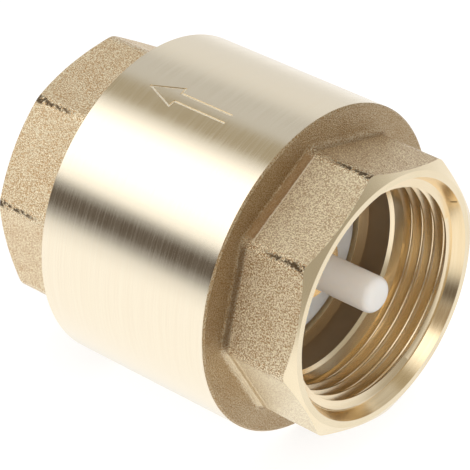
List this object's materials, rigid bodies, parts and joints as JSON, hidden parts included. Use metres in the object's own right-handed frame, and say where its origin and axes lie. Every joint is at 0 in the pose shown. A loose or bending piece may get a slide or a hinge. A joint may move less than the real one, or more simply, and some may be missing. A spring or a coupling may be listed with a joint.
{
  "type": "in-line spring check valve",
  "caption": "In-line brass check valve with octagonal threaded ends, a turned barrel, and a spring-loaded guided disc.",
  "frame": {"origin": "centre of the outlet end face, which the valve stands on", "axes": "+Z along the flow axis from the outlet up to the inlet; the inlet octagon has flats facing +X and +Y"},
  "size_m": [0.06, 0.06, 0.0673],
  "materials": {
    "brass": "sand-blasted forging with turned barrel and end faces",
    "white_plastic": "milky translucent moulded acetal",
    "black_rubber": "moulded nitrile rubber",
    "stainless_steel": "drawn stainless spring wire"
  },
  "bodies": {
    "housing": {"valve_body": "brass", "end_adapter": "brass", "return_spring": "stainless_steel"},
    "closing_disc": {"front_disc": "white_plastic", "seal_ring": "black_rubber", "rear_disc": "white_plastic"}
  },
  "joints": [
    {"name": "disc_lift", "type": "slide", "parent": "housing", "child": "closing_disc", "axis": [0, 0, -1], "range_m": [0, 0.009], "stiffness_N_per_m": 300, "springref_m": -0.007, "deforming": ["return_spring"]}
  ]
}
